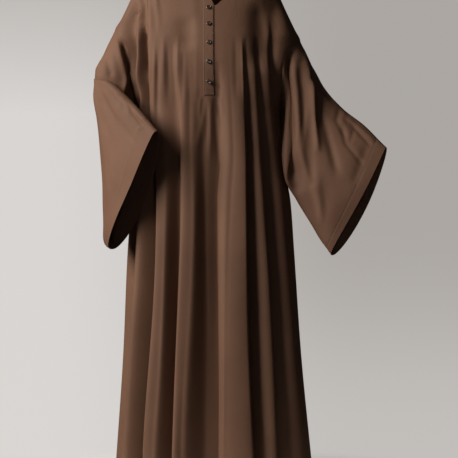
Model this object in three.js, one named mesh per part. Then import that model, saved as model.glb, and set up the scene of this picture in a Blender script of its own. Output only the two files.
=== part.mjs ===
// A full-length pull-on abaya as it is worn: drop shoulders, wide bell sleeves, a half
// button placket under a small V neck, and an A-line body that hangs in long folds.
// Sizes are in millimetres. +X is the wearer's left, -Y the front, +Z up. The origin is the
// middle of the neck, level with the high points of the shoulders.
import * as THREE from "three";

// Driving sizes
const WALL = 1.6; // cloth thickness, with the turned edges pressed flat
const SEAM_GAP = 0.4; // distance between two pieces along a seam
const LAYER_GAP = 0.35; // distance between a piece and what lies on it
const DEGREE = Math.PI / 180;

const HEM = -1460;

const PLACKET = { left: -14, right: 15, bottom: -413, lift: 0.7, thick: 1.5 };
const BUTTONS = { heights: [-170, -216, -268, -321.5, -377], x: 1, radius: 6, thick: 3 };

// Horizontal sections of the body: half widths to the wearer's right (-X) and left (+X),
// half depths to the front and back, and how square the section is (2 is an ellipse).
const SECTIONS = [
  { z: 0, right: 77, left: 77, front: 44, back: 60, fullness: 2.0 },
  { z: -18, right: 118, left: 116, front: 54, back: 72, fullness: 2.0 },
  { z: -36, right: 155, left: 149, front: 64, back: 83, fullness: 2.0 },
  { z: -54, right: 181, left: 170, front: 73, back: 91, fullness: 2.0 },
  { z: -75, right: 198, left: 184, front: 82, back: 98, fullness: 2.1 },
  { z: -131, right: 223, left: 205, front: 102, back: 110, fullness: 2.2 },
  { z: -188, right: 250, left: 231, front: 120, back: 116, fullness: 2.3 },
  { z: -219, right: 268, left: 246, front: 128, back: 116, fullness: 2.3 },
  { z: -251, right: 272, left: 261, front: 134, back: 114, fullness: 2.4 },
  { z: -316, right: 260, left: 250, front: 138, back: 108, fullness: 2.4 },
  { z: -390, right: 225, left: 221, front: 135, back: 102, fullness: 2.35 },
  { z: -460, right: 203, left: 202, front: 132, back: 100, fullness: 2.3 },
  { z: -560, right: 208, left: 207, front: 134, back: 108, fullness: 2.2 },
  { z: -710, right: 221, left: 233, front: 143, back: 126, fullness: 2.2 },
  { z: -850, right: 232, left: 243, front: 151, back: 138, fullness: 2.2 },
  { z: -1130, right: 244, left: 262, front: 168, back: 160, fullness: 2.2 },
  { z: -1460, right: 266, left: 294, front: 190, back: 188, fullness: 2.2 },
];

// Half widths where each panel ends on its armhole seam.
const ARMHOLE_FRONT_RIGHT = [
  { z: -218, x: 268 }, { z: -232, x: 257 }, { z: -254, x: 243 }, { z: -290, x: 236 },
  { z: -335, x: 230 }, { z: -380, x: 221 }, { z: -422, x: 211 }, { z: -455, x: 204 },
];
const ARMHOLE_FRONT_LEFT = [
  { z: -251, x: 261 }, { z: -264, x: 244 }, { z: -284, x: 223 }, { z: -312, x: 212 },
  { z: -350, x: 206 }, { z: -392, x: 204 }, { z: -430, x: 203 }, { z: -460, x: 202 },
];
const ARMHOLE_BACK_RIGHT = [
  { z: -218, x: 268 }, { z: -234, x: 261 }, { z: -260, x: 246 }, { z: -296, x: 232 },
  { z: -338, x: 222 }, { z: -382, x: 214 }, { z: -425, x: 207 }, { z: -455, x: 204 },
];
const ARMHOLE_BACK_LEFT = [
  { z: -251, x: 261 }, { z: -266, x: 249 }, { z: -290, x: 233 }, { z: -322, x: 220 },
  { z: -360, x: 211 }, { z: -398, x: 206 }, { z: -434, x: 203 }, { z: -460, x: 202 },
];

// Neckline of each panel, from the wearer's right to left, across (x) and down (z).
const FRONT_NECKLINE = [
  { x: -76.5, z: 0 }, { x: -74, z: -16 }, { x: -64, z: -34 }, { x: -46, z: -58 },
  { x: -27, z: -85 }, { x: -9, z: -114 }, { x: 4, z: -137 }, { x: 17.5, z: -163 },
  { x: 34, z: -150 }, { x: 50, z: -134 }, { x: 63, z: -108 }, { x: 71, z: -74 },
  { x: 76, z: -28 }, { x: 76.5, z: 0 },
];
const BACK_NECKLINE = [
  { x: -76.5, z: 0 }, { x: -72, z: -6 }, { x: -54, z: -13 }, { x: -30, z: -17 },
  { x: 0, z: -18.5 }, { x: 30, z: -17 }, { x: 54, z: -13 }, { x: 72, z: -6 },
  { x: 76.5, z: 0 },
];

// Crests and troughs of the folds, from the wearer's right to left. chest to hem are their
// distances from the middle line at the five FOLD_HEIGHTS; from is where the fold begins;
// atChest, atWaist and atHem say how far it stands out (or in, below zero).
const FOLD_HEIGHTS = { chest: -330, armpit: -425, waist: -565, hip: -704, hem: -1390 };
const FRONT_FOLDS = foldTable([
  [-217, -198, -203, -214, -243, -250, -10, -12, -14],
  [-202, -187, -194, -194, -221, -120, 8, 9, 14],
  [-183, -171, -170, -170, -174, -100, -18, -16, -16],
  [-157, -158, -154, -146, -152, -245, 3, 10, 16],
  [-124, -126, -124, -122, -126, -245, 3, 8, 11],
  [-101, -99, -93, -89, -102, -245, -3, -14, -22],
  [-81, -75, -64, -60, -69, -250, 3, 10, 16],
  [-41, -48, -38, -34, -22, -300, -1, -4, -1],
  [-18, -18, -4, 2, 6, -340, 0, 4, 3],
  [28, 26, 21, 17, 30, -340, 0, -6, -10],
  [60, 62, 63, 63, 65, -250, 3, 11, 18],
  [90, 92, 94, 97, 104, -250, 3, 10, 17],
  [108, 111, 116, 121, 131, -245, -4, -16, -22],
  [124, 132, 138, 144, 178, -245, 4, 9, 15],
  [147, 152, 158, 165, 203, -245, -4, -9, -12],
  [163, 169, 178, 188, 250, -230, 5, 9, 14],
  [183, 187, 196, 209, 270, -110, -20, -20, -16],
]);
const BACK_FOLDS = foldTable([
  [-209, -196, -202, -215, -254, -300, -3, -8, -12],
  [-191, -181, -188, -201, -234, -300, 3, 9, 15],
  [-163, -160, -166, -172, -202, -280, -3, -10, -17],
  [-131, -131, -139, -143, -159, -280, 2, 8, 15],
  [-95, -96, -101, -104, -116, -300, -1, -7, -12],
  [-57, -55, -61, -62, -60, -330, 1, 9, 18],
  [-18, -15, -22, -20, -18, -360, -1, -8, -18],
  [26, 25, 18, 28, 40, -340, 1, 7, 12],
  [61, 57, 57, 71, 95, -320, -1, -8, -13],
  [98, 95, 98, 115, 146, -300, 2, 10, 19],
  [133, 128, 136, 158, 195, -280, -2, -11, -20],
  [163, 160, 168, 189, 239, -280, 3, 8, 14],
  [188, 184, 194, 214, 270, -300, -3, -7, -10],
]);
const FRONT_STEPS = 3; // columns between two neighbouring crests and troughs
const BACK_STEPS = 3;

// Rows of the body panels below the armholes, and shares of the way down the yoke.
const BODY_ROWS = [-508, -565, -632, -710, -810, -930, -1060, -1200, -1335, HEM];
const YOKE_SHARES = [0, 0.09, 0.22, 0.38, 0.57, 0.78, 1];
const MIDDLE_OF_YOKE = { front: -300, back: -285 }; // the last yoke row at the middle line

// Sections of the sleeves from the armhole to the cuff. top and bottom are the ends of the
// section on the arm line and on the lower line; turn is the angle by which its front looks
// away from straight ahead; front and back are the half widths; drop makes it hang narrower
// and bow carries its middle toward the wearer's left.
const RIGHT_SLEEVE = sleeveTable([
  [-268, 0, -218, -204, 0, -455, 0, 60, 55, 0, 0],
  [-297, -4, -279, -224, 4, -545, 8, 64, 44, 0.25, 0],
  [-322, -6, -332, -257, 2, -640, 0, 54, 38, 0.4, 3],
  [-320, -22, -355, -278, -10, -722, -12, 42, 34, 0.3, 4],
  [-281, -70, -370, -286, -40, -790, -27, 38, 30, 0.2, 4],
  [-218, -134, -427, -284, -74, -826, -42, 36, 27, 0, 6],
  [-140, -204, -519, -268, -102, -838, -50, 34, 34, -0.3, 12],
]);
const LEFT_SLEEVE = sleeveTable([
  [261, 0, -251, 202, 0, -460, 0, 60, 55, 0, 0],
  [283, 2, -296, 218, -30, -548, 3, 56, 46, 0.3, 0],
  [305, 0, -343, 226, -54, -640, 6, 52, 42, 0.4, -4],
  [327, -6, -382, 250, -60, -702, 5, 48, 40, 0.3, -3],
  [377, -24, -440, 282, -62, -762, -2, 44, 38, 0.1, 2],
  [438, -46, -492, 313, -63, -812, -10, 40, 38, -0.2, 6],
  [499, -66, -554, 346, -64, -858, -18, 34, 40, -0.45, 8],
]);

// Drape folds on the sleeves, each along a line from one point to another: along the sleeve
// and round it (0 is the arm line, 0.5 the lower line), its half width and how far it
// stands out (or in, below zero).
const RIGHT_SLEEVE_FOLDS = sleeveFolds([
  [0.1, 0.13, 0.4, 0.2, 17, -7],
  [0.14, 0.25, 0.42, 0.34, 20, 7],
  [0.46, 0.1, 0.86, 0.3, 20, -5],
  [0.5, 0.2, 0.78, 0.4, 22, 5],
  [0.14, 0.78, 0.6, 0.7, 24, -7],
  [0.3, 0.66, 0.85, 0.6, 24, 7],
]);
const LEFT_SLEEVE_FOLDS = sleeveFolds([
  [0.12, 0.16, 0.5, 0.29, 18, -8],
  [0.16, 0.08, 0.46, 0.18, 18, 6],
  [0.48, 0.07, 0.57, 0.18, 14, -6],
  [0.53, 0.15, 0.86, 0.28, 20, -7],
  [0.4, 0.24, 0.74, 0.36, 22, 7],
  [0.14, 0.8, 0.62, 0.7, 24, -7],
  [0.36, 0.82, 0.9, 0.74, 24, 7],
]);
const SLEEVE_ROWS = 12;
const SEAM_STEPS = 3; // sleeve columns to each vertex of an armhole edge

const COLOURS = { cloth: 0x5b4235, button: 0x2a1d17 };

function foldTable(rows) {
  return rows.map(([chest, armpit, waist, hip, hem, from, atChest, atWaist, atHem]) => ({
    chest, armpit, waist, hip, hem, from, atChest, atWaist, atHem,
  }));
}

function sleeveTable(rows) {
  return rows.map(([tx, ty, tz, bx, by, bz, turn, front, back, drop, bow], index) => ({
    along: index / (rows.length - 1), tx, ty, tz, bx, by, bz, turn, front, back, drop, bow,
  }));
}

function sleeveFolds(rows) {
  return rows.map(([fromAlong, fromRound, toAlong, toRound, width, out]) => ({
    fromAlong, fromRound, toAlong, toRound, width, out,
  }));
}

// A smooth curve through one column of a table that never overshoots its rows.
function curve(rows, key, at = "z") {
  const x = rows.map((row) => row[at]);
  const y = rows.map((row) => row[key]);
  const count = x.length;
  const step = x.slice(1).map((value, i) => value - x[i]);
  const slope = step.map((value, i) => (y[i + 1] - y[i]) / value);
  const tangent = y.map((_, i) => {
    if (i === 0) return slope[0];
    if (i === count - 1) return slope[count - 2];
    if (slope[i - 1] * slope[i] <= 0) return 0;
    const before = 2 * step[i] + step[i - 1];
    const after = step[i] + 2 * step[i - 1];
    return (before + after) / (before / slope[i - 1] + after / slope[i]);
  });
  const rising = x[1] > x[0];
  return (value) => {
    let i = 0;
    while (i < count - 2 && (rising ? value > x[i + 1] : value < x[i + 1])) i += 1;
    const t = Math.min(1, Math.max(0, (value - x[i]) / step[i]));
    const u = 1 - t;
    return (
      y[i] * (1 + 2 * t) * u * u +
      tangent[i] * step[i] * t * u * u +
      y[i + 1] * t * t * (3 - 2 * t) -
      tangent[i + 1] * step[i] * t * t * u
    );
  };
}

function mix(a, b, share) {
  return a + (b - a) * share;
}

function smooth(share) {
  const t = Math.min(1, Math.max(0, share));
  return t * t * (3 - 2 * t);
}

const half = {
  right: curve(SECTIONS, "right"),
  left: curve(SECTIONS, "left"),
  front: curve(SECTIONS, "front"),
  back: curve(SECTIONS, "back"),
  fullness: curve(SECTIONS, "fullness"),
};

function halfWidth(x, z) {
  return x < 0 ? half.right(z) : half.left(z);
}

// The track of one crest or trough: its angle and how far it stands out at a height.
function foldTrack(fold) {
  const { chest, armpit, waist, hip, hem } = FOLD_HEIGHTS;
  const across = curve(
    [
      { z: chest, value: fold.chest },
      { z: armpit, value: fold.armpit },
      { z: waist, value: fold.waist },
      { z: hip, value: fold.hip },
      { z: hem, value: fold.hem },
    ],
    "value",
  );
  const angle = (z) => {
    const x = across(z);
    return Math.asin(Math.max(-1, Math.min(1, x / halfWidth(x, z)))) / DEGREE;
  };
  const out = curve(
    [
      { z: Math.max(fold.from, chest + 10), value: 0 },
      { z: chest, value: fold.atChest },
      { z: waist, value: fold.atWaist },
      { z: hem, value: fold.atHem },
    ],
    "value",
  );
  return { angle, out };
}

function panelOf(name) {
  const front = name === "front";
  return {
    toFront: front ? -1 : 1,
    depth: front ? half.front : half.back,
    tracks: (front ? FRONT_FOLDS : BACK_FOLDS).map(foldTrack),
    neckline: front ? FRONT_NECKLINE : BACK_NECKLINE,
    armRight: front ? ARMHOLE_FRONT_RIGHT : ARMHOLE_BACK_RIGHT,
    armLeft: front ? ARMHOLE_FRONT_LEFT : ARMHOLE_BACK_LEFT,
    middle: MIDDLE_OF_YOKE[name],
    steps: front ? FRONT_STEPS : BACK_STEPS,
  };
}

// The edges of a panel, as angles, at a height: the armhole seam or the side seam.
function edgeAngles(panel, z) {
  const edge = (rows, width) => {
    const first = rows[0].z;
    const last = rows[rows.length - 1].z;
    if (z >= first || z <= last) return 90;
    return Math.asin(Math.min(1, curve(rows, "x")(z) / width(z))) / DEGREE;
  };
  return { right: -edge(panel.armRight, half.right), left: edge(panel.armLeft, half.left) };
}

// How far the folds stand out at an angle and height.
function foldOut(panel, angle, z) {
  const edges = edgeAngles(panel, z);
  const points = [{ at: edges.right, out: 0 }];
  for (const track of panel.tracks) {
    points.push({ at: track.angle(z), out: track.out(z) });
  }
  points.push({ at: edges.left, out: 0 });
  for (let i = 1; i < points.length - 1; i += 1) {
    const room = Math.min(points[i].at - edges.right, edges.left - points[i].at);
    points[i].out *= smooth(room / 4);
  }
  let i = 0;
  while (i < points.length - 2 && angle > points[i + 1].at) i += 1;
  const span = Math.max(0.5, points[i + 1].at - points[i].at);
  return mix(points[i].out, points[i + 1].out, smooth((angle - points[i].at) / span));
}

// A point of the body, from its share of the half width (-1 to 1) and its height.
function bodyPoint(panel, share, z) {
  const at = (q) => {
    const width = halfWidth(q, z);
    const power = half.fullness(z);
    const rest = Math.max(0, 1 - Math.abs(q) ** power);
    return [q * width, panel.toFront * panel.depth(z) * rest ** (1 / power)];
  };
  const [x, y] = at(share);
  const angle = Math.asin(Math.min(1, Math.max(-1, share))) / DEGREE;
  const out = foldOut(panel, angle, z);
  const before = at(Math.sin(Math.max(-90, angle - 1.5) * DEGREE));
  const after = at(Math.sin(Math.min(90, angle + 1.5) * DEGREE));
  const run = [after[0] - before[0], after[1] - before[1]];
  const length = Math.hypot(run[0], run[1]);
  const nx = (-panel.toFront * run[1]) / length;
  const ny = (panel.toFront * run[0]) / length;
  return new THREE.Vector3(x + nx * out, y + ny * out, z);
}

// Angles of the panel's columns at a height: the edges, every crest and trough, and the
// even steps between them.
function columnAngles(panel, z) {
  const edges = edgeAngles(panel, z);
  const stops = [edges.right, ...panel.tracks.map((track) => track.angle(z)), edges.left];
  const angles = [];
  for (let i = 0; i < stops.length - 1; i += 1) {
    for (let k = 0; k < panel.steps; k += 1) {
      angles.push(mix(stops[i], stops[i + 1], k / panel.steps));
    }
  }
  angles.push(edges.left);
  return angles;
}

// The neckline as shares of the half width and heights, evenly spread along the cloth.
function necklineColumns(panel, count) {
  const rows = panel.neckline.map((row, i) => ({ ...row, along: i }));
  const xs = curve(rows, "x", "along");
  const zs = curve(rows, "z", "along");
  const fine = 40 * (rows.length - 1);
  const samples = [];
  let run = 0;
  for (let i = 0; i <= fine; i += 1) {
    const t = (i / fine) * (rows.length - 1);
    const z = zs(t);
    const share = Math.max(-1, Math.min(1, xs(t) / halfWidth(xs(t), z)));
    const edge = i === 0 ? -1 : i === fine ? 1 : share;
    const point = bodyPoint(panel, edge, z);
    if (i > 0) run += point.distanceTo(samples[i - 1].point);
    samples.push({ share: edge, z, point, run });
  }
  const lowest = samples.reduce((low, sample) => (sample.z < low.z ? sample : low));
  const turn = Math.round(((count - 1) * lowest.run) / run);
  const columns = [];
  let i = 0;
  for (let k = 0; k < count; k += 1) {
    const wanted =
      k < turn
        ? (lowest.run * k) / turn
        : mix(lowest.run, run, (k - turn) / (count - 1 - turn));
    while (i < fine - 1 && samples[i + 1].run < wanted) i += 1;
    const t = (wanted - samples[i].run) / (samples[i + 1].run - samples[i].run);
    columns.push({
      share: mix(samples[i].share, samples[i + 1].share, t),
      z: mix(samples[i].z, samples[i + 1].z, t),
    });
  }
  return columns;
}

// The rows of a panel as lists of points, from the neckline to the hem.
function panelGrid(panel) {
  const rows = [];
  const ends = [];
  const rightZ = panel.armRight.map((row) => row.z);
  const leftZ = panel.armLeft.map((row) => row.z);
  const armRows = rightZ.length;
  const levels = [];
  for (let k = 0; k < armRows; k += 1) {
    const share = k / (armRows - 1);
    const middle = mix(panel.middle, (rightZ[armRows - 1] + leftZ[armRows - 1]) / 2, share);
    levels.push({ right: rightZ[k], left: leftZ[k], middle, arm: true });
  }
  for (const z of BODY_ROWS) levels.push({ right: z, left: z, middle: z, arm: false });

  const level = ({ right, left, middle }) => {
    const spread = columnAngles(panel, middle);
    const rightEdge = edgeAngles(panel, right).right;
    const leftEdge = edgeAngles(panel, left).left;
    const from = spread[0];
    const to = spread[spread.length - 1];
    return spread.map((angle, j) => {
      const side = angle < 0 ? angle / from : angle / to;
      const z = mix(middle, angle < 0 ? right : left, smooth(side));
      const edges = edgeAngles(panel, z);
      const own = columnAngles(panel, z)[j];
      let at = own;
      if (j === 0) at = rightEdge;
      if (j === spread.length - 1) at = leftEdge;
      const atZ = j === 0 ? right : j === spread.length - 1 ? left : z;
      return { share: Math.sin(Math.max(edges.right, Math.min(edges.left, at)) * DEGREE), z: atZ };
    });
  };

  const first = level(levels[0]);
  const neck = necklineColumns(panel, first.length);
  for (const share of YOKE_SHARES.slice(0, -1)) {
    const row = neck.map((point, j) => ({
      share: mix(point.share, first[j].share, share),
      z: mix(point.z, first[j].z, share),
    }));
    rows.push(row);
    ends.push({ seam: true, armhole: false });
  }
  levels.forEach((entry, k) => {
    rows.push(level(entry));
    ends.push({ seam: !entry.arm || k === 0 || k === armRows - 1, armhole: entry.arm });
  });
  const grid = rows.map((row) => row.map(({ share, z }) => bodyPoint(panel, share, z)));
  return { grid, ends };
}

// Normals of a grid of points; rows run down the piece and columns around it.
function gridNormals(grid, closed, sign) {
  const last = grid.length - 1;
  return grid.map((row, i) =>
    row.map((point, j) => {
      const count = row.length;
      const before = closed ? row[(j + count - 1) % count] : row[Math.max(0, j - 1)];
      const after = closed ? row[(j + 1) % count] : row[Math.min(count - 1, j + 1)];
      const above = grid[Math.max(0, i - 1)][j];
      const below = grid[Math.min(last, i + 1)][j];
      const down = new THREE.Vector3().subVectors(below, above);
      const across = new THREE.Vector3().subVectors(after, before);
      return down.cross(across).normalize().multiplyScalar(sign);
    }),
  );
}

// Closes a grid of outer points into a wall of cloth: outer side, inner side and rims.
function clothWall(outer, inner, closed, sign) {
  const rows = outer.length;
  const columns = outer[0].length;
  const positions = [];
  for (const grid of [outer, inner]) {
    for (const row of grid) for (const point of row) positions.push(point.x, point.y, point.z);
  }
  const offset = rows * columns;
  const index = [];
  const face = (a, b, c) => index.push(...(sign > 0 ? [a, b, c] : [a, c, b]));
  const spans = closed ? columns : columns - 1;
  for (let j = 0; j < spans; j += 1) {
    const next = (j + 1) % columns;
    for (let i = 0; i < rows - 1; i += 1) {
      const a = i * columns + j;
      const b = a + columns;
      const d = i * columns + next;
      const c = d + columns;
      face(a, b, c);
      face(a, c, d);
      face(a + offset, c + offset, b + offset);
      face(a + offset, d + offset, c + offset);
    }
    const bottom = (rows - 1) * columns;
    face(j, next, next + offset);
    face(j, next + offset, j + offset);
    face(bottom + next, bottom + j, bottom + j + offset);
    face(bottom + next, bottom + j + offset, bottom + next + offset);
  }
  if (!closed) {
    for (let i = 0; i < rows - 1; i += 1) {
      const a = i * columns;
      const b = a + columns;
      const d = a + columns - 1;
      const c = d + columns;
      face(b, a, a + offset);
      face(b, a + offset, b + offset);
      face(d, c, c + offset);
      face(d, c + offset, d + offset);
    }
  }
  const geometry = new THREE.BufferGeometry();
  geometry.setAttribute("position", new THREE.Float32BufferAttribute(positions, 3));
  geometry.setIndex(index);
  geometry.computeVertexNormals();
  return geometry;
}

function moved(grid, normals, distance) {
  return grid.map((row, i) =>
    row.map((point, j) => point.clone().addScaledVector(normals[i][j], distance)),
  );
}

const materials = {
  cloth: () => new THREE.MeshStandardMaterial({ color: COLOURS.cloth, roughness: 0.8, metalness: 0 }),
  button: () => new THREE.MeshStandardMaterial({ color: COLOURS.button, roughness: 0.25, metalness: 0 }),
};

const group = new THREE.Group();

function addPiece(name, geometry, material) {
  const mesh = new THREE.Mesh(geometry, material());
  mesh.name = name;
  group.add(mesh);
}

// A body panel before it is sewn: its points and their normals. On the shoulder and side
// seams the normals lie in the plane of the seam.
function draftPanel(name) {
  const panel = panelOf(name);
  const sign = -panel.toFront;
  const { grid, ends } = panelGrid(panel);
  const normals = gridNormals(grid, false, sign);
  const lastColumn = grid[0].length - 1;
  grid.forEach((row, i) => {
    if (!ends[i].seam) return;
    for (const j of [0, lastColumn]) normals[i][j].setY(0).normalize();
  });
  const arm = ends.flatMap((end, i) => (end.armhole ? [i] : []));
  return { name, panel, sign, grid, normals, ends, arm, lastColumn };
}

// The armhole as one loop, from the shoulder down the front and up the back. Each panel
// vertex is followed by even steps along the seam; share is the way round (0.5 underarm).
function armholeLoop(side) {
  const vertex = (draft, k) => {
    const i = draft.arm[k];
    const j = side === "right" ? 0 : draft.lastColumn;
    const inward = side === "right" ? 1 : -1;
    const point = draft.grid[i][j].clone();
    const across = new THREE.Vector3().subVectors(draft.grid[i][j + inward], point).normalize();
    return { point, normal: draft.normals[i][j].clone(), across, at: [draft, i, j] };
  };
  const count = front.arm.length;
  const down = front.arm.map((_, k) => vertex(front, k));
  const up = back.arm.map((_, k) => vertex(back, k));
  for (const k of [0, count - 1]) {
    down[k].normal.add(up[k].normal).normalize();
    down[k].across.add(up[k].across).setY(0);
    down[k].across.add(new THREE.Vector3(0, 0, k === 0 ? 1 : -1)).normalize();
    down[k].also = up[k].at;
  }
  const corners = [...down, ...up.slice(1, -1).reverse()];
  const loop = [];
  corners.forEach((corner, k) => {
    const next = corners[(k + 1) % corners.length];
    for (let part = 0; part < SEAM_STEPS; part += 1) {
      const t = part / SEAM_STEPS;
      loop.push({ corner: part === 0 ? corner : null, point: corner.point.clone().lerp(next.point, t) });
    }
  });
  const halfway = (count - 1) * SEAM_STEPS;
  const runs = [0];
  loop.forEach((entry, k) => {
    const next = loop[(k + 1) % loop.length];
    runs.push(runs[k] + entry.point.distanceTo(next.point));
  });
  const total = runs[loop.length];
  loop.forEach((entry, k) => {
    entry.share =
      k <= halfway
        ? runs[k] / runs[halfway] / 2
        : 0.5 + (runs[k] - runs[halfway]) / (total - runs[halfway]) / 2;
  });
  return loop;
}

// A point of a sleeve section: along the sleeve (0 to 1) and round it (0 to 1).
function sleeveSection(table) {
  const keys = Object.keys(table[0]).filter((key) => key !== "along");
  const line = Object.fromEntries(keys.map((key) => [key, curve(table, key, "along")]));
  return (along, round) => {
    const row = Object.fromEntries(keys.map((key) => [key, line[key](along)]));
    const top = new THREE.Vector3(row.tx, row.ty, row.tz);
    const bottom = new THREE.Vector3(row.bx, row.by, row.bz);
    const a = round * 2 * Math.PI;
    const turn = row.turn * DEGREE;
    const ahead = new THREE.Vector3(Math.sin(turn), -Math.cos(turn), 0);
    const width = (Math.sin(a) > 0 ? row.front : row.back) * (1 + row.drop * Math.cos(a));
    const middle = top.lerp(bottom, (1 - Math.cos(a)) / 2);
    middle.x += row.bow * Math.sin(a) ** 2;
    return middle.addScaledVector(ahead, width * Math.sin(a));
  };
}

// Turns the rims of a sleeve and its panels to one mitred seam, a gap apart.
function sewArmhole(loop, sleeveGrid, sleeveNormals) {
  const size = loop.length;
  const seams = loop.map((entry, j) => {
    if (!entry.corner) return null;
    const { normal, across } = entry.corner;
    const own = sleeveNormals[0][j];
    const mitre = new THREE.Vector3().addVectors(normal, own);
    if (mitre.length() < 0.05) mitre.copy(across).negate();
    mitre.normalize();
    const before = loop[(j + size - SEAM_STEPS) % size].point;
    const after = loop[(j + SEAM_STEPS) % size].point;
    const tangent = new THREE.Vector3().subVectors(after, before).normalize();
    const apart = new THREE.Vector3().crossVectors(mitre, tangent).normalize();
    const away = new THREE.Vector3().subVectors(sleeveGrid[1][j], sleeveGrid[0][j]).normalize();
    if (apart.dot(away.sub(across)) < 0) apart.negate();
    const depth = WALL * Math.min(1.5, 1 / Math.max(0.05, mitre.dot(normal)));
    return { apart, inward: mitre.multiplyScalar(-depth) };
  });
  loop.forEach((entry, j) => {
    if (!entry.corner) return;
    const { apart, inward } = seams[j];
    for (const at of [entry.corner.at, entry.corner.also]) {
      if (!at) continue;
      const [draft, i, column] = at;
      draft.grid[i][column].copy(entry.point).addScaledVector(apart, -SEAM_GAP / 2);
      draft.seamInward.set(i + "," + column, inward);
    }
  });
  return loop.map((entry, j) => {
    const k = Math.floor(j / SEAM_STEPS) * SEAM_STEPS;
    const t = (j - k) / SEAM_STEPS;
    const next = seams[(k + SEAM_STEPS) % size];
    const apart = seams[k].apart.clone().lerp(next.apart, t);
    sleeveGrid[0][j].addScaledVector(apart, SEAM_GAP / 2);
    return seams[k].inward.clone().lerp(next.inward, t);
  });
}

// Moves the points of a sleeve out or in along its folds, which fade at both ends.
function addSleeveFolds(grid, shares, folds, sign) {
  const normals = gridNormals(grid, true, sign);
  const line = (fold, along) => {
    const t = (along - fold.fromAlong) / (fold.toAlong - fold.fromAlong);
    return { t, round: mix(fold.fromRound, fold.toRound, t) };
  };
  grid.forEach((row, i) => {
    const along = i / (grid.length - 1);
    const length = row.reduce((sum, point, j) => sum + point.distanceTo(row[(j + 1) % row.length]), 0);
    row.forEach((point, j) => {
      let out = 0;
      for (const fold of folds) {
        const { t, round } = line(fold, along);
        const fade = smooth((t + 0.25) / 0.35) * smooth((1.25 - t) / 0.35);
        const off = ((shares[j] - round) * length) / fold.width;
        out += fold.out * fade * Math.exp(-off * off);
      }
      point.addScaledVector(normals[i][j], out);
    });
  });
}

function buildSleeve(name, side, table, folds, sign) {
  const loop = armholeLoop(side);
  const section = sleeveSection(table);
  const grid = [];
  for (let i = 0; i <= SLEEVE_ROWS; i += 1) {
    const along = i / SLEEVE_ROWS;
    const hold = 1 - smooth(along / 0.35);
    grid.push(
      loop.map(({ point, share }) => {
        const away = point.clone().sub(section(0, share));
        return section(along, share).addScaledVector(away, hold);
      }),
    );
  }
  addSleeveFolds(grid, loop.map((entry) => entry.share), folds, sign);
  loop.forEach(({ point }, j) => grid[0][j].copy(point));
  const normals = gridNormals(grid, true, sign);
  const seamInward = sewArmhole(loop, grid, normals);
  const inner = moved(grid, normals, -WALL);
  inner[0] = grid[0].map((point, j) => point.clone().add(seamInward[j]));
  addPiece(name, clothWall(grid, inner, true, sign), materials.cloth);
}

// The wall of a panel, once its armholes are sewn.
function buildPanel(draft) {
  const { name, panel, sign, grid, normals, ends, lastColumn } = draft;
  const inner = moved(grid, normals, -WALL);
  grid.forEach((row, i) => {
    for (const j of [0, lastColumn]) {
      const inward = draft.seamInward.get(i + "," + j);
      if (inward) inner[i][j] = row[j].clone().add(inward);
      if (!ends[i].seam) continue;
      row[j].y += (panel.toFront * SEAM_GAP) / 2;
      inner[i][j].y += (panel.toFront * SEAM_GAP) / 2;
    }
  });
  addPiece(name + "_panel", clothWall(grid, inner, false, sign), materials.cloth);
}

// The outer face of the front panel's wall, straight ahead of a point (x, z).
function frontFace(x, z) {
  const { grid } = front;
  const face = new THREE.Triangle();
  const flat = new THREE.Vector3();
  for (let i = 0; i < grid.length - 1; i += 1) {
    for (let j = 0; j < grid[0].length - 1; j += 1) {
      const corners = [grid[i][j], grid[i + 1][j], grid[i + 1][j + 1], grid[i][j + 1]];
      if (Math.max(...corners.map((p) => p.x)) < x || Math.min(...corners.map((p) => p.x)) > x) continue;
      if (Math.max(...corners.map((p) => p.z)) < z || Math.min(...corners.map((p) => p.z)) > z) continue;
      for (const [b, c] of [[1, 2], [2, 3]]) {
        const seen = [corners[0], corners[b], corners[c]].map((p) => new THREE.Vector3(p.x, 0, p.z));
        face.set(seen[0], seen[1], seen[2]);
        face.getBarycoord(flat.set(x, 0, z), flat);
        if (Math.min(flat.x, flat.y, flat.z) < -1e-6) continue;
        return corners[0].y * flat.x + corners[b].y * flat.y + corners[c].y * flat.z;
      }
    }
  }
  throw new Error("the front panel has no cloth at " + x + ", " + z);
}

// The height of the neckline at a distance from the middle, on the placket's side.
function necklineHeight(x) {
  const rows = FRONT_NECKLINE.slice(1, 8);
  return curve(rows, "z", "x")(x);
}

function buildPlacket() {
  const { left, right, bottom, lift, thick } = PLACKET;
  const rows = 20;
  const columns = 4;
  const grid = [];
  for (let i = 0; i <= rows; i += 1) {
    const row = [];
    for (let j = 0; j < columns; j += 1) {
      const x = mix(left, right, j / (columns - 1));
      const z = mix(necklineHeight(x) - 3, bottom, i / rows);
      row.push(new THREE.Vector3(x, frontFace(x, z), z));
    }
    grid.push(row);
  }
  const normals = gridNormals(grid, false, 1);
  const under = moved(grid, normals, lift);
  const outer = moved(grid, normals, lift + thick);
  addPiece("button_placket", clothWall(outer, under, false, 1), materials.cloth);
}

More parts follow.
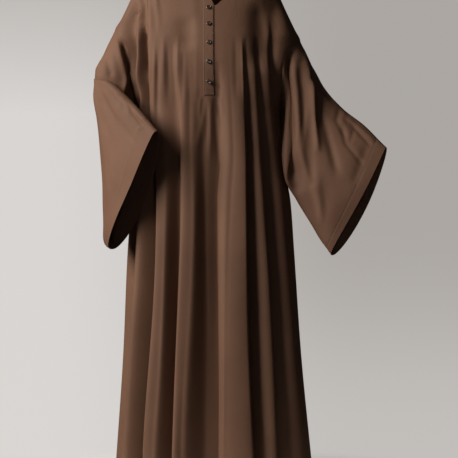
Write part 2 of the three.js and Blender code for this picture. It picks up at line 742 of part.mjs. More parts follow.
function buildButtons() {
  const { heights, x, radius, thick } = BUTTONS;
  const profile = [
    [0, 0], [radius * 0.8, 0], [radius, thick * 0.35], [radius, thick * 0.65],
    [radius * 0.86, thick], [radius * 0.66, thick * 0.98], [radius * 0.5, thick * 0.72],
    [0, thick * 0.66],
  ].map(([across, up]) => new THREE.Vector2(across, up));
  heights.forEach((z, index) => {
    const reach = 6;
    const rise = (frontFace(x, z + reach) - frontFace(x, z - reach)) / (2 * reach);
    const swing = (frontFace(x + reach, z) - frontFace(x - reach, z)) / (2 * reach);
    const ahead = new THREE.Vector3(swing, -1, rise).normalize();
    const lathe = new THREE.LatheGeometry(profile, 14);
    const turn = new THREE.Quaternion().setFromUnitVectors(new THREE.Vector3(0, 1, 0), ahead);
    lathe.applyQuaternion(turn);
    const seat = PLACKET.lift + PLACKET.thick + LAYER_GAP;
    const centre = new THREE.Vector3(x, frontFace(x, z), z).addScaledVector(ahead, seat);
    lathe.translate(centre.x, centre.y, centre.z);
    addPiece("button_" + (index + 1), lathe, materials.button);
  });
}

const front = { ...draftPanel("front"), seamInward: new Map() };
const back = { ...draftPanel("back"), seamInward: new Map() };
buildSleeve("right_sleeve", "right", RIGHT_SLEEVE, RIGHT_SLEEVE_FOLDS, 1);
buildSleeve("left_sleeve", "left", LEFT_SLEEVE, LEFT_SLEEVE_FOLDS, -1);
buildPanel(front);
buildPanel(back);
buildPlacket();
buildButtons();

export default group;
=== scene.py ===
import bpy
import math
import numpy as np
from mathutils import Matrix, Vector


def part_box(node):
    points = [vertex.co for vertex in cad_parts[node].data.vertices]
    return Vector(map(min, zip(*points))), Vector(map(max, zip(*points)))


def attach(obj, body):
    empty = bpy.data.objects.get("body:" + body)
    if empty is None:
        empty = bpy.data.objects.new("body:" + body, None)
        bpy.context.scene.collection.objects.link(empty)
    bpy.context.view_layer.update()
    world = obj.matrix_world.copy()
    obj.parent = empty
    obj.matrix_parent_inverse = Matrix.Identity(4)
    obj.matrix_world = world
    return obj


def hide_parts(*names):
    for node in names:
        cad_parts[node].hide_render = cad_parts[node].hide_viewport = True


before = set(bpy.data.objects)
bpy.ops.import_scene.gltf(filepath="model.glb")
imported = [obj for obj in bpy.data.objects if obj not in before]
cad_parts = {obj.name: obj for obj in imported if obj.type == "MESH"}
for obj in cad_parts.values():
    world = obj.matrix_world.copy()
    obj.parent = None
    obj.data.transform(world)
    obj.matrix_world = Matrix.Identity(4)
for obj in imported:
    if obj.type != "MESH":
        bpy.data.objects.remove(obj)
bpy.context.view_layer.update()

# The abaya dressed over its solids: cloth, placket, buttons and stitching, then the stage.
# Sizes and places are in millimetres up to the point where a mesh or a light is made.
MM = 0.001

# The abaya's own sizes
CLOTH = 1.5
HEM = -1460.0
HEM_DEEP = 25.0
PLACKET_LEFT, PLACKET_RIGHT, PLACKET_BOTTOM = -14.0, 15.0, -413.0
PLACKET_RISE = 2.3
PLACKET_THICK = 1.4
PLACKET_EDGE = 2.2
NECK_TURN = 3.0
BUTTON_RADIUS = 6.0
BUTTON_THICK = 2.4
HOLE_RADIUS = 0.62
HOLE_OFF_MIDDLE = 1.15
STITCH_LENGTH = 2.4
STITCH_RADIUS = 0.34
THREAD_RISE = 0.75
HEM_PITCH, NECK_PITCH, PLACKET_PITCH = 3.6, 3.2, 3.0
# where the placket's two long rows of stitching begin, under the neckline
LEFT_ROW_TOP, RIGHT_ROW_TOP = -125.0, -165.0

# How the cloth hangs. Folds wander to the side, and lean by a share of their height.
WANDER, WANDER_LENGTH, WANDER_BELOW = 1.6, 118.0, -380.0
LEAN = 0.28
# below a height the flanks named sharp stay flat for a share of their width, then climb
SHARP_BELOW, SHARP_FADE, TROUGH_FLAT = -310.0, 190.0, 0.3
# small folds die out beside the placket, and come back over a short way below its bottom
CALM_BESIDE, CALM_FADE, CALM_BELOW = 20.0, 30.0, 12.0
# the stitching pulls a groove into the hem, and into each cuff at a share of the sleeve
HEM_GROOVE = 1.8
CUFF_AT, CUFF_GROOVE = 0.935, 0.004
SLEEVE_ROWS = 84
SLEEVE_SQUARENESS = 0.22

# The photograph's frame
FRAME_PIXELS = 458
MM_PER_PIXEL = 2.85
CAMERA_X, CAMERA_AWAY, CAMERA_HEIGHT = 57.0, 4300.0, -783.75

SECTION_COLUMNS = ("z", "right", "left", "front", "back", "fullness")
SECTIONS = [
    (0, 77, 77, 44, 60, 2.0),
    (-18, 118, 116, 54, 72, 2.0),
    (-36, 155, 149, 64, 83, 2.0),
    (-54, 181, 170, 73, 91, 2.0),
    (-75, 198, 184, 82, 98, 2.1),
    (-131, 223, 205, 102, 110, 2.2),
    (-188, 250, 231, 120, 116, 2.15),
    (-219, 268, 246, 128, 116, 2.12),
    (-251, 272, 261, 134, 114, 2.1),
    (-316, 260, 250, 138, 108, 2.08),
    (-390, 225, 221, 135, 102, 2.08),
    (-460, 203, 202, 132, 100, 2.1),
    (-560, 208, 207, 134, 108, 2.12),
    (-710, 221, 233, 143, 126, 2.2),
    (-850, 232, 243, 151, 138, 2.2),
    (-1130, 244, 262, 168, 160, 2.2),
    (-1460, 266, 294, 190, 188, 2.2),
]

ARMHOLE_FRONT_RIGHT = [(-218, 268), (-232, 257), (-254, 243), (-290, 236),
                       (-335, 230), (-380, 221), (-422, 211), (-455, 204)]
ARMHOLE_FRONT_LEFT = [(-251, 261), (-264, 244), (-284, 223), (-312, 212),
                      (-350, 206), (-392, 204), (-430, 203), (-460, 202)]
ARMHOLE_BACK_RIGHT = [(-218, 268), (-234, 261), (-260, 246), (-296, 232),
                      (-338, 222), (-382, 214), (-425, 207), (-455, 204)]
ARMHOLE_BACK_LEFT = [(-251, 261), (-266, 249), (-290, 233), (-322, 220),
                     (-360, 211), (-398, 206), (-434, 203), (-460, 202)]

FRONT_NECKLINE = [(-76.5, 0), (-74, -16), (-64, -34), (-46, -58), (-27, -85), (-9, -114),
                  (4, -137), (17.5, -163), (34, -150), (50, -134), (63, -108), (71, -74),
                  (76, -28), (76.5, 0)]
BACK_NECKLINE = [(-76.5, 0), (-72, -6), (-54, -13), (-30, -17), (0, -18.5), (30, -17),
                 (54, -13), (72, -6), (76.5, 0)]

FOLD_HEIGHTS = (-330, -425, -565, -704, -1390)
# x at each of these heights; the height where it begins; how far out at chest, waist and hem;
# and whether the flank from here to the next row's line is a sharp one
FRONT_FOLDS = [
    (-214, -196, -199, -203, -234, -240, -18, -24, -34, 1),
    (-199, -183, -184, -183, -210, -120, 5, 12, 26, 0),
    (-181, -170, -160, -153, -178, -100, -12, -24, -42, 1),
    (-155, -156, -141, -131, -160, -235, 3, 11, 20, 0),
    (-132, -134, -120, -112, -139, -235, 3, 9, 17, 0),
    (-99, -92, -91, -90, -108, -235, -3, -14, -38, 1),
    (-77, -67, -64, -64, -84, -240, 3, 11, 22, 0),
    (-55, -48, -44, -40, -64, -280, 0, 6, 17, 0),
    (-28, -20, -14, -10, -16, -340, 0, -12, -30, 0),
    (28, 30, 30, 20, 19, -340, -1, -16, -40, 0),
    (58, 62, 66, 60, 48, -250, 2, 9, 14, 0),
    (90, 90, 92, 91, 105, -250, 3, 15, 28, 1),
    (106, 109, 110, 111, 129, -245, -3, -22, -42, 0),
    (124, 127, 133, 144, 172, -245, 3, 11, 20, 1),
    (145, 145, 152, 164, 194, -245, -3, -16, -34, 0),
    (163, 167, 178, 195, 244, -230, 4, 11, 18, 1),
    (186, 187, 196, 212, 264, -150, -10, -20, -30, 0),
]
BACK_FOLDS = [
    (-209, -196, -202, -215, -254, -300, -4, -11, -16, 1),
    (-191, -181, -188, -201, -234, -300, 4, 10, 16, 0),
    (-163, -160, -166, -172, -202, -280, -4, -14, -24, 1),
    (-131, -131, -139, -143, -159, -280, 3, 9, 16, 0),
    (-95, -96, -101, -104, -116, -300, -2, -10, -18, 1),
    (-57, -55, -61, -62, -60, -330, 2, 10, 19, 0),
    (-18, -15, -22, -20, -18, -360, -2, -10, -26, 0),
    (26, 25, 18, 28, 40, -340, 2, 8, 13, 1),
    (61, 57, 57, 71, 95, -320, -2, -11, -20, 0),
    (98, 95, 98, 115, 146, -300, 3, 11, 20, 1),
    (133, 128, 136, 158, 195, -280, -3, -15, -28, 0),
    (163, 160, 168, 189, 239, -280, 4, 9, 15, 1),
    (188, 184, 194, 214, 270, -300, -4, -10, -15, 0),
]

# the upper line's place, the lower line's, the turn in degrees, half widths, and two bends
SLEEVE_COLUMNS = ("along", "tx", "ty", "tz", "bx", "by", "bz", "turn",
                  "front", "back", "drop", "bow")
RIGHT_SLEEVE = [
    (-268, 0, -218, -204, 0, -455, 0, 60, 55, 0, 0),
    (-297, -4, -279, -224, 4, -545, 8, 64, 44, 0.25, 0),
    (-322, -6, -332, -257, 2, -640, 0, 54, 38, 0.4, 3),
    (-320, -22, -355, -278, -10, -722, -12, 42, 34, 0.3, 4),
    (-281, -70, -370, -286, -40, -790, -27, 38, 30, 0.2, 4),
    (-218, -134, -427, -284, -74, -826, -42, 36, 27, 0, 6),
    (-140, -204, -519, -268, -102, -838, -50, 34, 34, -0.3, 12),
]
LEFT_SLEEVE = [
    (261, 0, -251, 202, 0, -460, 0, 60, 55, 0, 0),
    (283, 2, -296, 201, -44, -548, 3, 56, 40, 0.3, 0),
    (305, 0, -343, 213, -70, -640, 6, 52, 36, 0.4, -4),
    (327, -6, -382, 246, -62, -702, 5, 48, 38, 0.3, -3),
    (377, -24, -440, 282, -62, -762, -2, 44, 38, 0.1, 2),
    (438, -46, -492, 313, -63, -812, -10, 40, 38, -0.2, 6),
    (499, -66, -554, 346, -64, -858, -27, 34, 42, -0.45, 13),
]
# along and round the sleeve at the start, and at the end, half width, how far out
RIGHT_SLEEVE_FOLDS = [
    (0.14, 0.25, 0.42, 0.34, 20, 7),
    (0.46, 0.1, 0.86, 0.3, 20, -3),
    (0.14, 0.78, 0.6, 0.7, 24, -7),
    (0.3, 0.66, 0.85, 0.6, 24, 7),
]
LEFT_SLEEVE_FOLDS = [
    (0.16, 0.08, 0.46, 0.18, 18, 4),
    (0.4, 0.24, 0.74, 0.36, 22, 6),
    (0.14, 0.8, 0.62, 0.7, 24, -7),
    (0.36, 0.82, 0.9, 0.74, 24, 7),
]
# creases on the side of a sleeve that faces forward: half width, how far out, then its x and z
RIGHT_SLEEVE_CREASES = [
    (6, -2.8, [(-252, -415), (-230, -430), (-219, -458)]),
    (5.5, -2.4, [(-206, -462), (-190, -470), (-174, -490)]),
    (6, 2.0, [(-215, -450), (-196, -478), (-180, -500)]),
    (8, 2.6, [(-310, -388), (-285, -430), (-248, -514)]),
    (5, -3.5, [(-323, -360), (-274, -377), (-240, -403), (-190, -457), (-160, -494)]),
    (9, 2.5, [(-318, -378), (-280, -394), (-251, -416), (-211, -460), (-170, -510)]),
    (9, -13, [(-238, -265), (-222, -326), (-212, -412)]),
    (9, 6, [(-258, -252), (-240, -324), (-223, -391)]),
    (9, -5, [(-287, -302), (-274, -354)]),
    (7, 3, [(-307, -274), (-310, -335)]),
    (3.5, -2.4, [(-248, -410), (-268, -425)]),
    (4, -2.2, [(-233, -420), (-247, -455)]),
    (3.5, -2.4, [(-208, -450), (-224, -475)]),
    (3.5, -2.2, [(-169, -492), (-189, -511)]),
    (8, 2, [(-314, -398), (-278, -522)]),
    (9, 2, [(-298, -426), (-203, -543)]),
    (10, -2, [(-304, -423), (-254, -676)]),
]
LEFT_SLEEVE_CREASES = [
    (5.5, -2.6, [(402, -490), (428, -520), (453, -548)]),
    (5.5, 2.2, [(388, -469), (428, -503), (462, -535)]),
    (7, -3.0, [(377, -500), (385, -545), (428, -600)]),
    (20, -24, [(219, -262), (220, -400), (227, -531), (244, -660)]),
    (14, -10, [(258, -318), (266, -399), (268, -461), (276, -530), (292, -650)]),
    (5, -4, [(291, -315), (293, -368)]),
    (8, 6, [(290, -374), (295, -462), (306, -560)]),
    (12, -5.5, [(307, -404), (311, -461), (329, -509), (343, -560), (359, -624)]),
    (7, -5, [(317, -385), (351, -422)]),
    (6, -2, [(367, -448), (359, -480), (379, -520)]),
    (7, 1.6, [(382, -450), (375, -480), (391, -509)]),
    (5, -1.6, [(408, -506), (396, -543)]),
    (12, -2.4, [(443, -554), (428, -597), (408, -650)]),
    (10, 2.5, [(256, -563), (305, -717)]),
]

# Small creases of the front and back: from (x, z) to (x, z), half width, how far out
FRONT_CREASES = [
    (-14, -418, -19, -470, 5, -2.5),
    (-21, -415, -27, -480, 5, 1.5),
    (20, -408, 27, -475, 4.5, -4.5),
    (28, -398, 38, -470, 6, 2.5),
    (2, -425, 0, -600, 5, 2.6),
    (-12, -430, -30, -560, 7, 2.5),
    (-5, -430, -8, -540, 5, -2.5),
    (16, -420, 24, -600, 6, -3.5),
    (22, -416, 40, -640, 8, 3.0),
    (-138, -300, -137, -500, 5, -2.6),
    (-148, -280, -147, -510, 5, 3.0),
    (-124, -255, -123, -400, 5, 2.2),
    (-112, -285, -112, -440, 5, -1.8),
    (-85, -260, -86, -430, 5, 2.4),
    (-70, -290, -70, -440, 6, -2.0),
    (-30, -285, -32, -430, 6, 1.8),
    (75, -262, 76, -420, 7, -1.8),
    (93, -270, 95, -430, 4, 2.5),
    (136, -250, 140, -420, 6, -2.2),
    (-175, -150, -190, -300, 7, -3.0),
    (-190, -130, -222, -250, 9, 3.0),
    (-150, -120, -176, -230, 14, 2.0),
    (150, -140, 176, -260, 12, 2.0),
    (-193, -40, -184, -235, 12, -17.0),
    (-184, -225, -178, -350, 9, -16.0),
    (-210, -120, -203, -260, 8, 6.0),
    (-204, -235, -190, -400, 7, 6.0),
    (-172, -90, -158, -240, 5, 2.4),
    (-149, -90, -136, -225, 5, 2.4),
    (-60, -195, -62, -285, 27, -6.0),
    (190, -150, 184, -340, 9, -4.0),
    (150, -150, 150, -330, 36, -17.0),
    (-219, -130, -223, -345, 23, -30.0),
    (-150, -40, -146, -190, 7, 1.6),
    (-132, -30, -128, -150, 6, 1.4),
    (214, -80, 224, -250, 20, 5.0),
]
BACK_CREASES = [
    (-60, -60, -120, -190, 16, 1.6),
    (62, -60, 118, -200, 16, 1.6),
    (-170, -200, -120, -330, 14, -2.0),
    (168, -210, 110, -340, 14, -2.2),
    (-80, -420, -74, -640, 9, 2.2),
    (40, -400, 36, -620, 9, -2.2),
    (120, -380, 124, -600, 8, 2.2),
    (-130, -700, -136, -960, 9, -2.0),
    (6, -720, 2, -1020, 9, 2.2),
]


def smooth(share):
    """From 0 to 1 as the share does, level at both ends."""
    t = np.clip(share, 0.0, 1.0)
    return t * t * (3 - 2 * t)


def mix(a, b, share):
    return a + (b - a) * share


def unit(vectors):
    return vectors / np.maximum(1e-9, np.linalg.norm(vectors, axis=-1, keepdims=True))


class Curve:
    """A smooth curve through the rows of a table that never overshoots them."""

    def __init__(self, at, value):
        at = np.array(at, float)
        value = np.array(value, float)
        if at[1] < at[0]:
            at, value = at[::-1], value[::-1]
        step = np.diff(at)
        slope = np.diff(value) / step
        tangent = np.zeros(len(at))
        tangent[0], tangent[-1] = slope[0], slope[-1]
        for i in range(1, len(at) - 1):
            if slope[i - 1] * slope[i] > 0:
                before = 2 * step[i] + step[i - 1]
                after = step[i] + 2 * step[i - 1]
                tangent[i] = (before + after) / (before / slope[i - 1] + after / slope[i])
        self.at, self.value, self.step, self.tangent = at, value, step, tangent

    def __call__(self, x):
        x = np.asarray(x, float)
        i = np.clip(np.searchsorted(self.at, x) - 1, 0, len(self.step) - 1)
        h = self.step[i]
        t = np.clip((x - self.at[i]) / h, 0, 1)
        u = 1 - t
        return (self.value[i] * (1 + 2 * t) * u * u + self.tangent[i] * h * t * u * u
                + self.value[i + 1] * t * t * (3 - 2 * t) - self.tangent[i + 1] * h * t * t * u)


HALF = {name: Curve([row[0] for row in SECTIONS], [row[i] for row in SECTIONS])
        for i, name in enumerate(SECTION_COLUMNS) if name != "z"}


def half_width(x, z):
    return np.where(np.asarray(x) < 0, HALF["right"](z), HALF["left"](z))


def unevenness(x, z, seed):
    """Soft, low unevenness of hanging cloth, longer down than across."""
    return (0.9 * np.sin(x / 23.0 + z / 210.0 + seed) * np.sin(z / 150.0 + 1.7 * seed)
            + 0.6 * np.sin(x / 13.0 - z / 320.0 + 2.1 * seed) * np.sin(z / 97.0 + seed)
            + 0.5 * np.sin(x / 41.0 + 0.4 * seed) * np.sin(z / 61.0 + 0.3 * seed))


def chosen(table, rows):
    return np.take_along_axis(table, rows[None], 0)[0]


class Panel:
    """The front or back of the body, as a surface of shares of its width and heights."""

    def __init__(self, front):
        self.to = -1.0 if front else 1.0
        self.depth = HALF["front" if front else "back"]
        self.folds = FRONT_FOLDS if front else BACK_FOLDS
        self.creases = FRONT_CREASES if front else BACK_CREASES
        self.neckline = FRONT_NECKLINE if front else BACK_NECKLINE
        self.right = ARMHOLE_FRONT_RIGHT if front else ARMHOLE_BACK_RIGHT
        self.left = ARMHOLE_FRONT_LEFT if front else ARMHOLE_BACK_LEFT
        self.middle = -300.0 if front else -285.0
        self.seed = 0.0 if front else 2.6
        self.tracks = []
        for k, (*line, begins, chest, waist, hem, _) in enumerate(self.folds):
            start = max(begins, FOLD_HEIGHTS[0] + 10)
            out = Curve([start, FOLD_HEIGHTS[0], FOLD_HEIGHTS[2], HEM], [0, chest, waist, hem])
            self.tracks.append((Curve(FOLD_HEIGHTS, line), out, 1.3 * k + self.seed))
        self.hem_out = np.array([0, *(fold[-2] for fold in self.folds), 0], float)
        self.sharp = np.array([0, *(fold[-1] for fold in self.folds), 0], float)
        self.edge_right = Curve([row[0] for row in self.right], [row[1] for row in self.right])
        self.edge_left = Curve([row[0] for row in self.left], [row[1] for row in self.left])

    def edges(self, z):
        """The angles of the armhole or side seam on each side, at each height."""
        inside_right = (z < self.right[0][0]) & (z > self.right[-1][0])
        inside_left = (z < self.left[0][0]) & (z > self.left[-1][0])
        share_right = np.clip(self.edge_right(z) / HALF["right"](z), 0, 1)
        share_left = np.clip(self.edge_left(z) / HALF["left"](z), 0, 1)
        right = np.where(inside_right, -np.degrees(np.arcsin(share_right)), -90.0)
        left = np.where(inside_left, np.degrees(np.arcsin(share_left)), 90.0)
        return right, left

    def stops(self, z):
        """The angles of every crest and trough, from edge to edge, at each height."""
        right, left = self.edges(z)
        rows = [right]
        for across, _, phase in self.tracks:
            wander = WANDER * np.sin(z / WANDER_LENGTH + phase) * smooth((WANDER_BELOW - z) / 200)
            x = across(z) + wander
            rows.append(np.degrees(np.arcsin(np.clip(x / half_width(x, z), -1, 1))))
        rows.append(left)
        return np.array(rows)

    def fold_out(self, angle, z):
        """How far the long folds stand out at each angle and height."""
        stops = self.stops(z)
        outs = [np.zeros_like(z)]
        for _, out, phase in self.tracks:
            outs.append(out(z) * (1 + 0.1 * np.sin(z / 205.0 + 2 * phase)))
        outs.append(np.zeros_like(z))
        outs = np.array(outs)
        room = np.minimum(stops - stops[0], stops[-1] - stops)
        outs = outs * smooth(room / 4)
        index = np.zeros(z.shape, int)
        for k in range(1, len(stops) - 1):
            index = np.where(angle > stops[k], k, index)
        low, high = chosen(stops, index), chosen(stops, index + 1)
        a, b = chosen(outs, index), chosen(outs, index + 1)
        t = np.clip((angle - low) / np.maximum(0.5, high - low), 0, 1)
        sharp = self.sharp[index] * smooth((SHARP_BELOW - z) / SHARP_FADE)
        # a sharp flank rises at once from its trough and rounds off over its crest
        climb = (np.where(b > a, t, 1 - t) - TROUGH_FLAT) / (1 - TROUGH_FLAT)
        climb = 1 - (1 - np.clip(climb, 0, 1)) ** 3
        steep = np.where(b > a, climb, 1 - climb)
        gentle = np.where(b > a, 1 - (1 - t) ** 2.1, smooth(t ** 1.1))
        return mix(a, b, mix(gentle, steep, sharp))

    def ring(self, share, z):
        """The body's section without its folds, at a share of its half width."""
        power = HALF["fullness"](z)
        rest = np.maximum(0, 1 - np.abs(share) ** power)
        return share * half_width(share, z), self.to * self.depth(z) * rest ** (1 / power)

    def small_folds(self, x, z, share):
        total = unevenness(x, z, self.seed) * smooth((1 - np.abs(share)) / 0.15)
        groove = np.exp(-((z - HEM - HEM_DEEP) / HEM_GROOVE) ** 2)
        total = total - groove * (0.9 + 0.3 * np.sin(x / 2.1))
        for x0, z0, x1, z1, width, out in self.creases:
            run = np.array([x1 - x0, z1 - z0], float)
            length = np.hypot(*run)
            run /= length
            along = ((x - x0) * run[0] + (z - z0) * run[1]) / length
            off = (-(x - x0) * run[1] + (z - z0) * run[0]) / width
            fade = smooth((along + 0.15) / 0.4) * smooth((1.15 - along) / 0.4)
            total = total + out * fade * np.exp(-off * off)
        return total

    def point(self, share, z):
        share = np.asarray(share, float)
        z = np.asarray(z, float)
        x, y = self.ring(share, z)
        angle = np.degrees(np.arcsin(np.clip(share, -1, 1)))
        before = self.ring(np.sin(np.radians(np.maximum(-90, angle - 1.5))), z)
        after = self.ring(np.sin(np.radians(np.minimum(90, angle + 1.5))), z)
        run = unit(np.stack([after[0] - before[0], after[1] - before[1]], -1))
        beside = abs(x - (PLACKET_LEFT + PLACKET_RIGHT) / 2) - CALM_BESIDE
        placket = smooth(beside / CALM_FADE) if self.to < 0 else 1.0
        settle = mix(1.0, placket, smooth((z - PLACKET_BOTTOM + CALM_BELOW) / CALM_BELOW))
        edge = smooth((1 - np.abs(share)) / 0.1)
        fold = self.fold_out(angle, z)
        out = fold + self.small_folds(x, z, share) * settle * edge
        # crests lean away from the middle, over the troughs beside them
        lean = LEAN * fold * edge * (2 * smooth((x - 50) / 40) - 1)
        return np.stack([x - self.to * run[..., 1] * out + run[..., 0] * lean,
                         y + self.to * run[..., 0] * out + run[..., 1] * lean, z], -1)

    def column_angles(self, z, steps):
        """The angle of each column, at that column's own height; closer on sharp flanks."""
        stops = self.stops(z)
        count = (len(stops) - 1) * steps + 1
        j = np.arange(count)
        i = np.minimum(j // steps, len(stops) - 2)
        t = (j - i * steps) / steps
        rising = self.hem_out[i + 1] > self.hem_out[i]
        close = np.where(rising, t ** 1.35, 1 - (1 - t) ** 1.35)
        t = np.where(self.sharp[i] > 0, close, t)
        return mix(stops[i, j], stops[i + 1, j], t)

    def grid(self, steps, yoke_rows, arm_rows, body_gap):
        """Points from the neckline and shoulders, past the armholes, down to the hem."""
        count = (len(self.tracks) + 1) * steps + 1
        rows = []
        k = np.arange(len(self.right))
        right_z = Curve(k, [row[0] for row in self.right])
        left_z = Curve(k, [row[0] for row in self.left])
        lowest = (self.right[-1][0] + self.left[-1][0]) / 2
        levels = []
        for t in np.linspace(0, 1, arm_rows + 1):
            at = t * (len(self.right) - 1)
            levels.append((float(right_z(at)), float(left_z(at)), mix(self.middle, lowest, t)))
        body = np.linspace(lowest, HEM, int((lowest - HEM) / body_gap) + 1)[1:]
        line = HEM + HEM_DEEP
        body = body[abs(body - line) > 5]
        body = np.sort(np.concatenate([body, line + HEM_GROOVE * np.arange(-2, 3)]))[::-1]
        start = np.array([self.right[-1][0], self.left[-1][0]], float)
        for z in body:
            share = smooth((lowest - z) / 60)
            side = mix(start + z - lowest, np.array([z, z]), share)
            levels.append((side[0], side[1], z))

        def level(right, left, middle):
            spread = self.column_angles(np.full(count, middle), steps)
            side = np.where(spread < 0, spread / spread[0], spread / spread[-1])
            z = mix(middle, np.where(spread < 0, right, left), smooth(side))
            z[0], z[-1] = right, left
            angle = self.column_angles(z, steps)
            low, high = self.edges(z)
            return np.sin(np.radians(np.clip(angle, low, high))), z

        first_share, first_z = level(*levels[0])
        neck_share, neck_z = self.neck_columns(count)
        for t in np.linspace(0, 1, yoke_rows + 1)[:-1]:
            t = t ** 1.15
            rows.append((mix(neck_share, first_share, t), mix(neck_z, first_z, t)))
        for entry in levels:
            rows.append(level(*entry))
        shares = np.array([row[0] for row in rows])
        heights = np.array([row[1] for row in rows])
        self.arm = (yoke_rows, yoke_rows + arm_rows)
        return self.point(shares, heights)

    def neck_columns(self, count):
        """Where the columns begin, spread evenly along the neckline and shoulders."""
        i = np.arange(len(self.neckline))
        xs = Curve(i, [row[0] for row in self.neckline])
        zs = Curve(i, [row[1] for row in self.neckline])
        t = np.linspace(0, len(self.neckline) - 1, 900)
        z = zs(t)
        share = np.clip(xs(t) / half_width(xs(t), z), -1, 1)
        share[0], share[-1] = -1, 1
        points = self.point(share, z)
        run = np.concatenate([[0], np.cumsum(np.linalg.norm(np.diff(points, axis=0), axis=1))])
        low = run[np.argmin(z)]
        turn = round((count - 1) * low / run[-1])
        wanted = np.concatenate([np.linspace(0, low, turn + 1),
                                 np.linspace(low, run[-1], count - turn)[1:]])
        return np.interp(wanted, run, share), np.interp(wanted, run, z)


def grid_normals(grid, closed, sign):
    """The way out of the cloth at each point of a grid of rows down and columns across."""
    across = np.roll(grid, -1, 1) - np.roll(grid, 1, 1)
    if not closed:
        across[:, 0] = grid[:, 1] - grid[:, 0]
        across[:, -1] = grid[:, -1] - grid[:, -2]
    down = np.empty_like(grid)
    down[1:-1] = grid[2:] - grid[:-2]
    down[0] = grid[1] - grid[0]
    down[-1] = grid[-1] - grid[-2]
    return unit(np.cross(down, across)) * sign


def crease(x, z, line, width):
    """How strongly a crease along a line of points shows at each place, fading at its ends."""
    line = np.array(line, float)
    lengths = np.linalg.norm(np.diff(line, axis=0), axis=1)
    nearest = np.full(x.shape, 1e9)
    run = np.zeros(x.shape)
    past = 0.0
    for i, length in enumerate(lengths):
        way = (line[i + 1] - line[i]) / length
        t = (x - line[i, 0]) * way[0] + (z - line[i, 1]) * way[1]
        off = np.hypot(x - line[i, 0] - way[0] * np.clip(t, 0, length),
                       z - line[i, 1] - way[1] * np.clip(t, 0, length))
        closer = off < nearest
        nearest = np.where(closer, off, nearest)
        run = np.where(closer, past + np.clip(t, 0, length), run)
        past += length
    share = run / past
    fade = smooth((share + 0.12) / 0.25) * smooth((1.12 - share) / 0.25)
    return np.exp(-(nearest / width) ** 2) * fade


class Sleeve:
    """One bell sleeve, from its armhole to its cuff."""

    def __init__(self, table, folds, creases, sign):
        rows = [(i / (len(table) - 1), *row) for i, row in enumerate(table)]
        self.lines = {name: Curve([row[0] for row in rows], [row[i] for row in rows])
                      for i, name in enumerate(SLEEVE_COLUMNS) if name != "along"}
        self.folds, self.creases, self.sign = folds, creases, sign

    def section(self, along, share):
        """The loop of a sleeve's section, from its upper line round to its lower line and back."""
        row = {name: line(along) for name, line in self.lines.items()}
        top = np.array([row["tx"], row["ty"], row["tz"]])
        bottom = np.array([row["bx"], row["by"], row["bz"]])
        a = share * 2 * math.pi
        turn = math.radians(float(row["turn"]))
        ahead = np.array([math.sin(turn), -math.cos(turn), 0])
        wide = np.where(np.sin(a) > 0, row["front"], row["back"]) * (1 + row["drop"] * np.cos(a))
        wide = wide * np.maximum(1e-6, np.abs(np.sin(a))) ** -SLEEVE_SQUARENESS
        middle = mix(top, bottom, ((1 - np.cos(a)) / 2)[:, None])
        middle[:, 0] += row["bow"] * np.sin(a) ** 2
        return middle + ahead * (wide * np.sin(a))[:, None]

    @staticmethod
    def levels():
        """How far along its rows lie, closer together beside the cuff's stitching."""
        levels = np.linspace(0, 1, SLEEVE_ROWS + 1)
        levels = levels[abs(levels - CUFF_AT) > 3 * CUFF_GROOVE]
        return np.sort(np.concatenate([levels, CUFF_AT + CUFF_GROOVE * np.arange(-2, 3)]))

    def grid(self, loop, share):
        start = self.section(0.0, share)
        out = []
        levels = self.levels()
        for along in levels:
            hold = 1 - smooth(along / 0.35)
            out.append(self.section(along, share) + (loop - start) * hold)
        grid = np.array(out)
        return self.add_folds(grid, share, levels[:, None])

    def add_folds(self, grid, share, along):
        normals = grid_normals(grid, True, self.sign)
        around = np.linalg.norm(np.roll(grid, -1, 1) - grid, axis=2).sum(1)[:, None]
        total = np.zeros(grid.shape[:2])
        for a0, r0, a1, r1, width, out in self.folds:
            t = (along - a0) / (a1 - a0)
            round_at = mix(r0, r1, t)
            fade = smooth((t + 0.25) / 0.35) * smooth((1.25 - t) / 0.35)
            off = share[None] - round_at
            off = (off + 0.5) % 1.0 - 0.5
            total += out * fade * np.exp(-(off * around / width) ** 2)
        ahead = smooth(np.sin(2 * math.pi * share[None]) * 2.5)
        for width, out, line in self.creases:
            total += out * ahead * crease(grid[..., 0], grid[..., 2], line, width)
        uneven = np.sin(share[None] * 38 + along * 5) * np.sin(along * 21)
        total += 0.8 * uneven * smooth(along / 0.1)
        # the stitched cuff draws in along its seam, with small puckers
        seam = np.exp(-((along - CUFF_AT) / CUFF_GROOVE) ** 2)
        total += seam * (-0.5 + 0.3 * np.sin(share[None] * 2 * math.pi * 61))
        return grid + normals * (total * smooth(along / 0.06))[..., None]


def clear_selection():
    bpy.ops.object.select_all(action="DESELECT")


